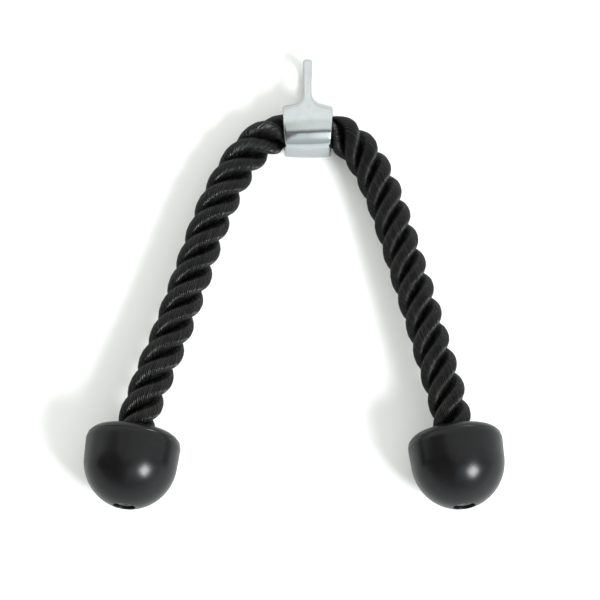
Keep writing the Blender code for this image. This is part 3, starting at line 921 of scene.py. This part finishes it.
def ball_outline():
    """The ball end's closed outline as (radius, height above the mouth), from the recess over the dome, the shoulder
    and the face into the socket and the screw's hole. The mould line is a bell curve on the shoulder, and the rings
    are close together there."""
    equator = ball_length - ball_dome
    rim_angle = math.degrees(math.acos((recess_radius + recess_round) / ball_radius))
    rim_height = equator + ball_dome * math.sin(math.radians(rim_angle))
    recess_floor = rim_height - recess_depth
    socket_floor = recess_floor - ball_web
    dome = bend(0, 0, 1, rim_angle, 0, 60) * (ball_radius, ball_dome) + (0, equator)
    lip = bend(recess_radius + recess_round, rim_height - recess_round, recess_round, 180, 100, 7)
    before_line = np.linspace(0, mould_line_turn + mould_line_clear, 6)
    over_line = np.linspace(mould_line_turn + mould_line_reach, mould_line_turn - mould_line_reach, 25)
    after_line = np.linspace(mould_line_turn - mould_line_clear, -90, 17)
    turns = np.concatenate([before_line, over_line, after_line])
    line = mould_line_height * np.exp(-(((turns - mould_line_turn) / mould_line_width) ** 2))
    way = np.stack([np.cos(np.radians(turns)), np.sin(np.radians(turns))], 1)
    shoulder = (ball_lip_radius - ball_shoulder, ball_shoulder) + (ball_shoulder + line)[:, None] * way
    mouth_edge = ball_mouth_radius + ball_mouth_round
    face = np.linspace((shoulder[-1, 0], 0), (mouth_edge, -ball_face_crown), 8)[1:-1]
    mouth = bend(mouth_edge, ball_mouth_round - ball_face_crown, ball_mouth_round, -90, -180, 8)
    inner = [
        (ball_mouth_radius, socket_floor / 2),
        (ball_mouth_radius, socket_floor),
        (screw_hole_radius, socket_floor),
        (screw_hole_radius, recess_floor),
        (recess_radius, recess_floor),
        (recess_radius, recess_floor + recess_depth / 2),
    ]
    return np.concatenate([lip, dome, shoulder, face, mouth, inner])


rubber, tree, shader = new_material("moulded_rubber")
cloud = noise(tree, scale=60.0, detail=4.0)
tree.links.new(colour_ramp(tree, cloud, rubber_tones), shader.inputs["Base Color"])
tree.links.new(number_ramp(tree, cloud, *noise_range, *rubber_roughness), shader.inputs["Roughness"])
shader.inputs["Specular IOR Level"].default_value = rubber_specular
bump(tree, shader, noise(tree, scale=2600.0, detail=2.0), strength=0.06, distance=0.0002)

for side_name, end in ends.items():
    ball = turned_piece(f"ball_end_{side_name}", ball_outline(), end, around_ball, rubber)
    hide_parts(f"ball_{side_name}")
    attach(ball, f"{side_name}_arm")


# The washers
# A stamped and zinc-plated steel washer lies on the floor of each recess. Its upper edge is rolled over by the die.
washer_radius = 0.0080
washer_low = 0.04757
washer_high = 0.04917
washer_roll = 0.0006
washer_chamfer = 0.0003
around_washer = 96

washer_outline = np.concatenate(
    [
        [(screw_hole_radius + washer_chamfer, washer_high), (washer_radius - washer_roll - edge_lead, washer_high)],
        bend(washer_radius - washer_roll, washer_high - washer_roll, washer_roll, 85, 5, 6),
        [(washer_radius, washer_low + edge_lead), (washer_radius - edge_lead, washer_low)],
        [(screw_hole_radius, washer_low), (screw_hole_radius, washer_high - washer_chamfer)],
    ]
)
for side_name, end in ends.items():
    disc = turned_piece(f"stamped_washer_{side_name}", washer_outline, end, around_washer, zinc)
    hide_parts(f"washer_{side_name}")
    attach(disc, f"{side_name}_arm")


# The screws
# A blackened M8 socket-head screw goes through each washer and the ball end into the ferrule's base. Its head is
# knurled, its thread is rolled, and its hex socket faces out of the recess.
head_radius = 0.0065
head_low = 0.04947
head_high = 0.05690
head_round = 0.0012
knurls = 36
knurl_depth = 0.00016
socket_half = 0.0030
socket_depth = 0.0040
thread_radius = 0.0040
thread_depth = 0.00045
thread_pitch = 0.00125
screw_tip = 0.02947
drill_point = 0.0006
socket_corner = 0.0002
socket_flare = 1.22
socket_flare_depth = 0.0006
socket_flat_end = 0.0016
head_top_lead = 0.0002
head_chamfer = 0.0004
neck_round = 0.0002
neck_fall = 0.0003
thread_start = 0.0015
tip_chamfer = 0.0008
knurl_fade = 0.0008
thread_fade = 0.0020
side_rings = 10
thread_rings = 150
around_screw = 180
oxide_metal = 0.7
oxide_tones = [(0.3, (0.060, 0.060, 0.063)), (0.7, (0.110, 0.108, 0.108))]
oxide_roughness = (0.34, 0.50)

black_oxide, tree, shader = new_material("black_oxide")
shader.inputs["Metallic"].default_value = oxide_metal
patina = noise(tree, scale=900.0, detail=4.0)
tree.links.new(colour_ramp(tree, patina, oxide_tones), shader.inputs["Base Color"])
tree.links.new(number_ramp(tree, patina, *noise_range, *oxide_roughness), shader.inputs["Roughness"])
bump(tree, shader, patina, strength=0.15, distance=0.00005)

socket_floor = head_high - socket_depth
side_heights = np.linspace(head_high - head_round, head_low + head_chamfer, side_rings)
thread_heights = np.linspace(head_low - thread_start, screw_tip + tip_chamfer, thread_rings)
socket_flats = [
    (socket_half - socket_corner, socket_floor),
    (socket_half, socket_floor + socket_corner),
    (socket_half, head_high - socket_flat_end),
    (socket_half, head_high - socket_flare_depth),
]
head_top = [(socket_half * socket_flare, head_high), (head_radius - head_round - head_top_lead, head_high)]
head_edge = bend(head_radius - head_round, head_high - head_round, head_round, 84, 6, 8)
under_head = [
    (head_radius - head_chamfer, head_low),
    (thread_radius + neck_round, head_low),
    (thread_radius, head_low - neck_fall),
]
screw_outline = np.concatenate(
    [
        [(0, socket_floor - drill_point)],
        socket_flats,
        head_top,
        head_edge,
        np.stack([np.full(side_rings, head_radius), side_heights], 1),
        under_head,
        np.stack([np.full(thread_rings, thread_radius), thread_heights], 1),
        [(thread_radius - tip_chamfer, screw_tip), (0, screw_tip)],
    ]
)
first_knurl = len(socket_flats) + len(head_top) + len(head_edge)
first_thread = first_knurl + side_rings + len(under_head)
share = np.linspace(0, 1, around_screw, endpoint=False)[:, None]
swell = np.zeros((around_screw, len(screw_outline) - 2))
# The socket's rings are hexagons: half their width over the cosine of the angle from the middle of the nearest flat.
from_flat = (share * 6 % 1 - 0.5) * math.radians(60)
swell[:, : len(socket_flats)] = socket_half * (1 / np.cos(from_flat) - 1)
# The knurls are deepest where their number times the turn is whole, and fade at both ends of the head's side.
knurl = 0.5 + 0.5 * np.cos(2 * math.pi * knurls * share)
off_low_end = ease(side_heights, side_heights[-1], side_heights[-1] + knurl_fade)
off_high_end = ease(side_heights, side_heights[0], side_heights[0] - knurl_fade)
swell[:, first_knurl : first_knurl + side_rings] = -knurl_depth * knurl * np.minimum(off_low_end, off_high_end)
# The thread's groove is deepest where the height over the pitch, less the turn, is whole, and runs out at both ends.
winding = thread_heights[None] / thread_pitch - share
groove = 0.5 + 0.5 * np.cos(2 * math.pi * winding)
off_head = ease(thread_heights, thread_heights[0], thread_heights[0] - thread_fade)
off_tip = ease(thread_heights, screw_tip, screw_tip + thread_fade)
swell[:, first_thread : first_thread + thread_rings] = -thread_depth * groove * (off_head * off_tip)
for side_name, end in ends.items():
    screw = turned_piece(f"cap_screw_{side_name}", screw_outline, end, around_screw, black_oxide, swell)
    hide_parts(f"screw_{side_name}")
    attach(screw, f"{side_name}_arm")
